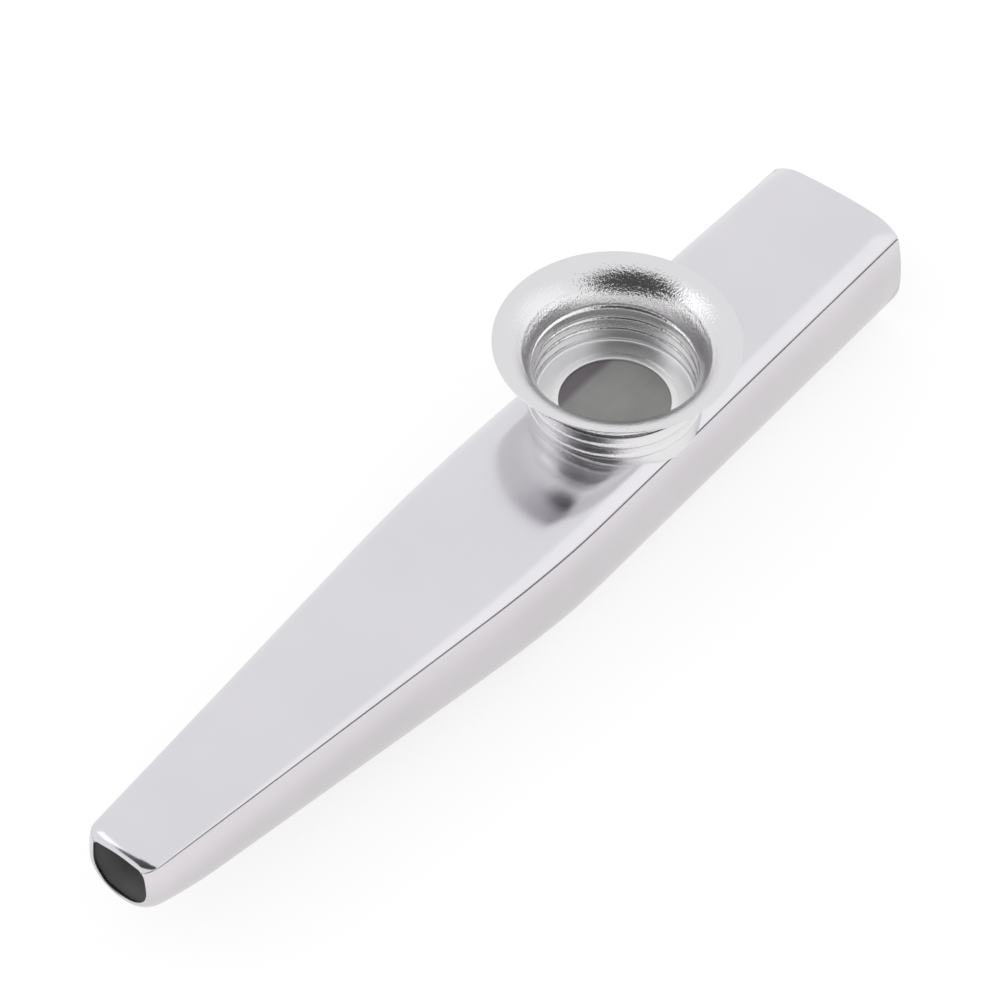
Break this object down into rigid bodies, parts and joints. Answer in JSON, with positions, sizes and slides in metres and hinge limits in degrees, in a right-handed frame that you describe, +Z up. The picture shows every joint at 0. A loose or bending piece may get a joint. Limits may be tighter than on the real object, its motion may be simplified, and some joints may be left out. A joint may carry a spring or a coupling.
{
  "type": "kazoo",
  "caption": "Slim metal kazoo: a pressed body that tapers from a wide mouth to a narrow outlet, with a round turret and a flared screw cap over the buzzing film.",
  "frame": {"origin": "on the surface that the belly rests on, under the middle of the overall box", "axes": "+X from the wide mouth towards the narrow outlet, +Z up along the turret"},
  "size_m": [0.12, 0.0266, 0.0235],
  "materials": {
    "shell": "satin",
    "cap": "polished",
    "ring": "satin",
    "film": "translucent, slightly creased"
  },
  "bodies": {
    "body": {"lower_shell": "shell", "upper_shell": "shell"},
    "resonator": {"film_ring_lower": "ring", "resonator_film": "film", "film_ring_upper": "ring"},
    "cap": {"turret_cap": "cap"}
  },
  "joints": [
    {"name": "resonator_lift", "type": "slide", "parent": "body", "child": "resonator", "axis": [0, 0, 1], "range_m": [0, 0.0032]},
    {"name": "cap_turn", "type": "hinge", "parent": "resonator", "child": "cap", "pos_m": [-0.0195, 0, 0.0143], "axis": [0, 0, 1], "range_deg": [0, 720]}
  ],
  "couplings": [
    {"joint": "resonator_lift", "follows": "cap_turn", "m_per_rad": 0.00025465}
  ]
}
